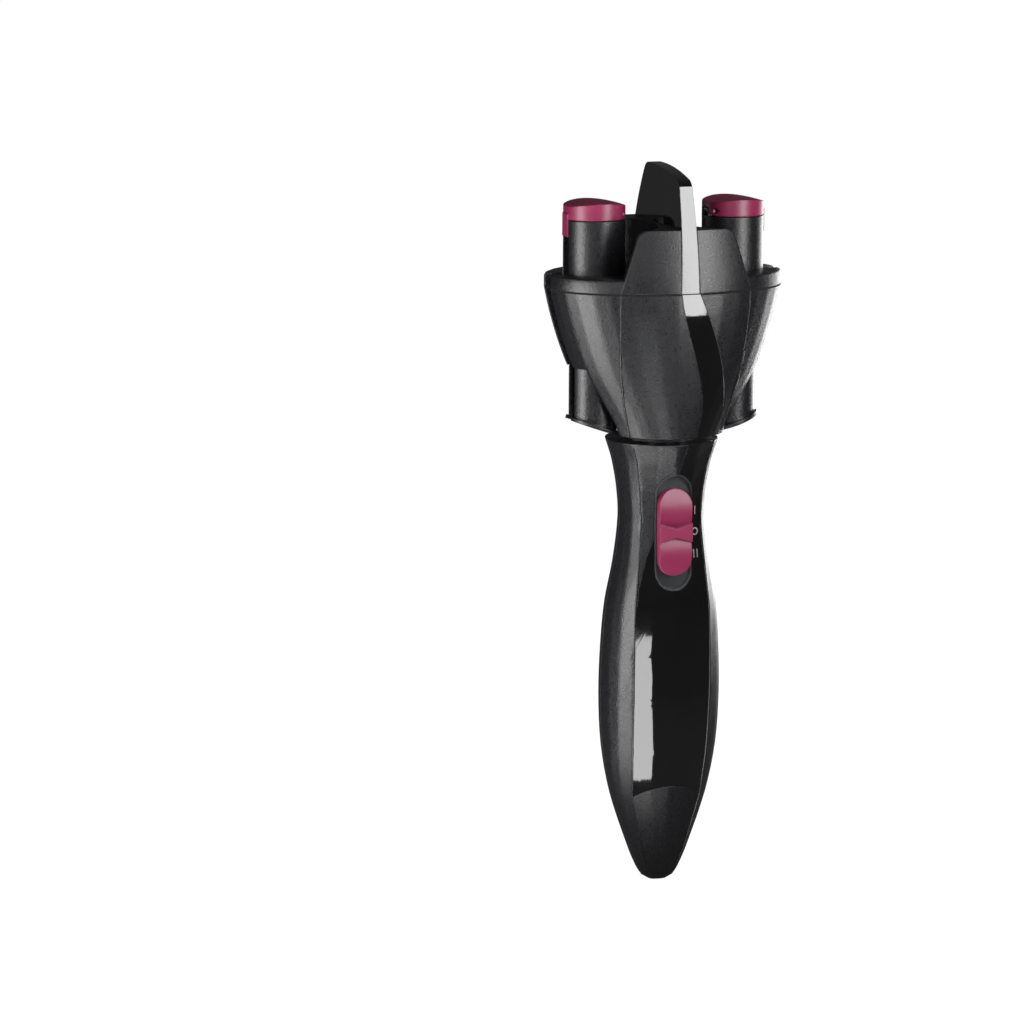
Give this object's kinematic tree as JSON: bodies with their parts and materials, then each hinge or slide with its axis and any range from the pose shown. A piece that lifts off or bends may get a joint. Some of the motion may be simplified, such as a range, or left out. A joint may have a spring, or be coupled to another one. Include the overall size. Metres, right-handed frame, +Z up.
{
  "type": "automatic hair braider",
  "caption": "Battery hair braider: a contoured handle with a slide switch under a turning bell whose slotted heads twist strands and wind them together.",
  "frame": {"origin": "lowest point of the handle's rounded tip, on the bell's turning axis", "axes": "+Z up the handle towards the heads, +X towards the right head seen from the front, front towards -Y"},
  "size_m": [0.0864, 0.058, 0.26],
  "materials": {
    "black_body": "fine satin",
    "gloss_black": "polished",
    "pink": "semi gloss",
    "bezel_grey": "satin",
    "nylon": "satin",
    "brass": "machined",
    "steel": "ground",
    "cell_can": "printed film",
    "contact": "nickel plated"
  },
  "bodies": {
    "handle": {"front_shell": "black_body", "rear_shell": "black_body", "gloss_panel": "gloss_black", "switch_bezel": "bezel_grey", "slide_switch": "black_body", "battery_holder": "nylon", "cell_left": "cell_can", "cell_right": "cell_can", "contact_springs": "contact", "contact_plates": "contact", "motor": "steel", "reduction_pin": "steel", "gear_frame": "black_body", "collar_bush": "nylon", "collar_clutch": "steel"},
    "battery_door": {"battery_door": "black_body"},
    "switch_knob": {"switch_knob": "pink"},
    "motor_pinion": {"motor_pinion": "brass"},
    "compound_gear": {"compound_gear": "nylon"},
    "rotor": {"bell_frame": "black_body", "bell_front_panel": "black_body", "bell_rear_panel": "black_body", "bell_inlay": "gloss_black", "gear_tray": "black_body", "top_cover": "black_body", "fin": "gloss_black", "strand_guide_left": "black_body", "strand_guide_right": "black_body", "shaft_clutch": "steel", "retaining_ring": "steel"},
    "drive": {"drive_shaft": "steel", "output_gear": "nylon", "sun_gear": "nylon"},
    "idler_left_front": {"idler_left_front": "nylon"},
    "idler_left_rear": {"idler_left_rear": "nylon"},
    "idler_right_front": {"idler_right_front": "nylon"},
    "idler_right_rear": {"idler_right_rear": "nylon"},
    "head_left": {"head_tube_left": "black_body", "head_gear_left": "nylon", "clip_pin_left": "steel", "clip_spring_left": "steel"},
    "clip_left": {"clip_left": "pink"},
    "head_right": {"head_tube_right": "black_body", "head_gear_right": "nylon", "clip_pin_right": "steel", "clip_spring_right": "steel"},
    "clip_right": {"clip_right": "pink"}
  },
  "joints": [
    {"name": "door_slide", "type": "slide", "parent": "handle", "child": "battery_door", "axis": [0, 0, -1], "range_m": [0, 0.012]},
    {"name": "switch_slide", "type": "slide", "parent": "handle", "child": "switch_knob", "axis": [0, 0, 1], "range_m": [-0.0045, 0.0045]},
    {"name": "rotor_spin", "type": "hinge", "parent": "handle", "child": "rotor", "pos_m": [0, 0, 0], "axis": [0, 0, 1], "continuous": true},
    {"name": "drive_spin", "type": "hinge", "parent": "rotor", "child": "drive", "pos_m": [0, 0, 0], "axis": [0, 0, 1], "continuous": true},
    {"name": "idler_left_front_spin", "type": "hinge", "parent": "rotor", "child": "idler_left_front", "pos_m": [-0.01019, -0.00774, 0], "axis": [0, 0, 1], "continuous": true},
    {"name": "idler_left_rear_spin", "type": "hinge", "parent": "rotor", "child": "idler_left_rear", "pos_m": [-0.01019, 0.00774, 0], "axis": [0, 0, 1], "continuous": true},
    {"name": "idler_right_front_spin", "type": "hinge", "parent": "rotor", "child": "idler_right_front", "pos_m": [0.01019, -0.00774, 0], "axis": [0, 0, 1], "continuous": true},
    {"name": "idler_right_rear_spin", "type": "hinge", "parent": "rotor", "child": "idler_right_rear", "pos_m": [0.01019, 0.00774, 0], "axis": [0, 0, 1], "continuous": true},
    {"name": "head_left_spin", "type": "hinge", "parent": "rotor", "child": "head_left", "pos_m": [-0.026, 0, 0], "axis": [0, 0, 1], "continuous": true},
    {"name": "head_right_spin", "type": "hinge", "parent": "rotor", "child": "head_right", "pos_m": [0.026, 0, 0], "axis": [0, 0, 1], "continuous": true},
    {"name": "compound_spin", "type": "hinge", "parent": "handle", "child": "compound_gear", "pos_m": [0, 0.009, 0], "axis": [0, 0, 1], "continuous": true},
    {"name": "motor_spin", "type": "hinge", "parent": "handle", "child": "motor_pinion", "pos_m": [0, 0.0022, 0], "axis": [0, 0, 1], "continuous": true},
    {"name": "clip_left_hinge", "type": "hinge", "parent": "head_left", "child": "clip_left", "pos_m": [-0.0172, 0, 0.2435], "axis": [0, 1, 0], "range_deg": [0, 45], "stiffness_Nm_per_rad": 0.012, "springref_deg": -20.05},
    {"name": "clip_right_hinge", "type": "hinge", "parent": "head_right", "child": "clip_right", "pos_m": [0.0172, 0, 0.2435], "axis": [0, -1, 0], "range_deg": [0, 45], "stiffness_Nm_per_rad": 0.012, "springref_deg": -20.05}
  ],
  "couplings": [
    {"joint": "drive_spin", "follows": "head_left_spin", "ratio": 1.75},
    {"joint": "idler_left_front_spin", "follows": "head_left_spin", "ratio": -1.75},
    {"joint": "idler_left_rear_spin", "follows": "head_left_spin", "ratio": -1.75},
    {"joint": "idler_right_front_spin", "follows": "head_left_spin", "ratio": -1.75},
    {"joint": "idler_right_rear_spin", "follows": "head_left_spin", "ratio": -1.75},
    {"joint": "head_right_spin", "follows": "head_left_spin", "ratio": 1},
    {"joint": "compound_spin", "follows": "head_left_spin", "ratio": -3.5},
    {"joint": "motor_spin", "follows": "head_left_spin", "ratio": 6.4167}
  ]
}
